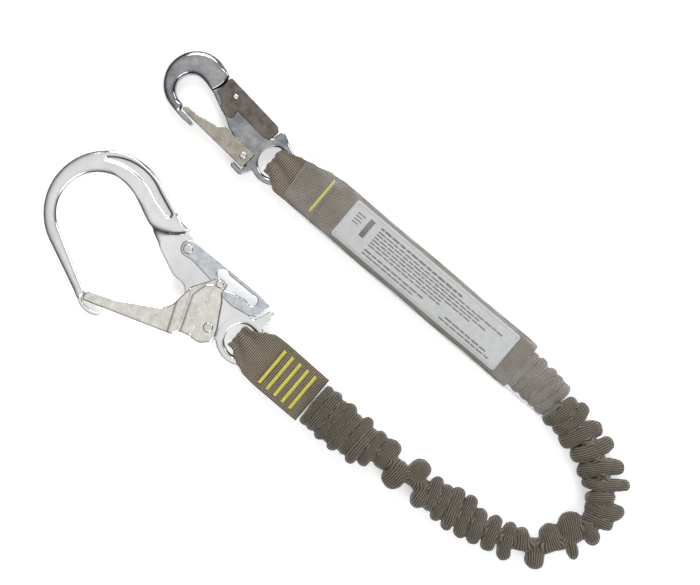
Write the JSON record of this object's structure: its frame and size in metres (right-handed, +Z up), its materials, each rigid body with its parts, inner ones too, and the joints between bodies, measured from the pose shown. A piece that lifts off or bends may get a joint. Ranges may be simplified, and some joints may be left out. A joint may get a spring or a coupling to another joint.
{
  "type": "shock absorbing lanyard",
  "caption": "Fall-arrest lanyard laid flat in a U: snap hook, webbing absorber pack in a clear sleeve, gathered elastic leg with a sewn end loop, and large scaffold hook.",
  "frame": {"origin": "middle of the bounding box's underside, the gathered leg left out, on the floor the lanyard lies on", "axes": "+X along the absorber pack from the snap hook to the outlet, +Y from the scaffold hook towards the pack, +Z up from the floor"},
  "size_m": [0.5133, 0.2177, 0.028],
  "materials": {
    "forged_steel": "satin zinc plate",
    "zinc_sheet": "bright zinc plate",
    "galvanised_sheet": "mottled galvanised",
    "nickel_steel": "glossy nickel plate",
    "nickel_sheet": "glossy nickel plate",
    "rivet_steel": "polished dome",
    "spring_steel": "bright wire",
    "grey_webbing": "woven",
    "taupe_webbing": "gathered weave",
    "yellow_thread": "stitched",
    "label_film": "matte",
    "clear_film": "clear, glossy",
    "elastic_rubber": "matte"
  },
  "bodies": {
    "absorber": {"absorber_end_loop": "grey_webbing", "absorber_end_tack": "yellow_thread", "absorber_tear_web": "grey_webbing", "absorber_cover_web": "grey_webbing", "absorber_label": "label_film", "absorber_sleeve": "clear_film", "absorber_outlet_web": "grey_webbing", "leg_sheath": "taupe_webbing", "leg_elastic_core": "elastic_rubber", "leg_end_loop": "grey_webbing", "leg_bar_tacks": "yellow_thread"},
    "snap_hook": {"snap_hook_body": "nickel_steel", "snap_gate_rivet": "rivet_steel", "snap_lever_rivet": "rivet_steel", "snap_gate_spring": "spring_steel", "snap_lever_spring": "spring_steel"},
    "snap_gate": {"snap_gate": "nickel_sheet"},
    "snap_lever": {"snap_lock_lever": "nickel_sheet"},
    "scaffold_hook": {"scaffold_hook_body": "forged_steel", "scaffold_gate_rivet": "rivet_steel", "scaffold_lever_rivet": "rivet_steel", "scaffold_gate_spring": "spring_steel"},
    "scaffold_gate": {"scaffold_gate": "zinc_sheet", "scaffold_link_pin": "rivet_steel"},
    "scaffold_lever": {"scaffold_lock_lever": "galvanised_sheet"}
  },
  "joints": [
    {"name": "snap_hook_swing", "type": "hinge", "parent": "absorber", "child": "snap_hook", "pos_m": [-0.08317, 0.07387, 0.0094], "axis": [0, 0, 1], "range_deg": [-25, 12]},
    {"name": "snap_gate_swing", "type": "hinge", "parent": "snap_hook", "child": "snap_gate", "pos_m": [-0.10463, 0.06259, 0.0094], "axis": [0, 0, 1], "range_deg": [-22, 0], "stiffness_Nm_per_rad": 0.05, "springref_deg": 34.38, "deforming": ["snap_gate_spring"]},
    {"name": "snap_lever_squeeze", "type": "hinge", "parent": "snap_hook", "child": "snap_lever", "pos_m": [-0.13872, 0.09378, 0.0094], "axis": [0, 0, 1], "range_deg": [-6.6, 0], "stiffness_Nm_per_rad": 0.03, "springref_deg": 28.65, "deforming": ["snap_lever_spring"]},
    {"name": "scaffold_hook_swing", "type": "hinge", "parent": "absorber", "child": "scaffold_hook", "pos_m": [-0.01252, -0.04904, 0.0094], "axis": [0, 0, 1], "range_deg": [-8, 30]},
    {"name": "scaffold_gate_swing", "type": "hinge", "parent": "scaffold_hook", "child": "scaffold_gate", "pos_m": [-0.03869, -0.05755, 0.0094], "axis": [0, 0, 1], "range_deg": [-40, 0], "stiffness_Nm_per_rad": 0.08, "springref_deg": 34.38, "deforming": ["scaffold_gate_spring"]},
    {"name": "scaffold_lever_squeeze", "type": "hinge", "parent": "scaffold_hook", "child": "scaffold_lever", "pos_m": [-0.09025, -0.02078, 0.0094], "axis": [0, 0, 1], "range_deg": [-4.2, 0]}
  ],
  "couplings": [
    {"joint": "snap_lever_squeeze", "follows": "snap_gate_swing", "ratio": 0.3},
    {"joint": "scaffold_lever_squeeze", "follows": "scaffold_gate_swing", "ratio": 0.105}
  ]
}
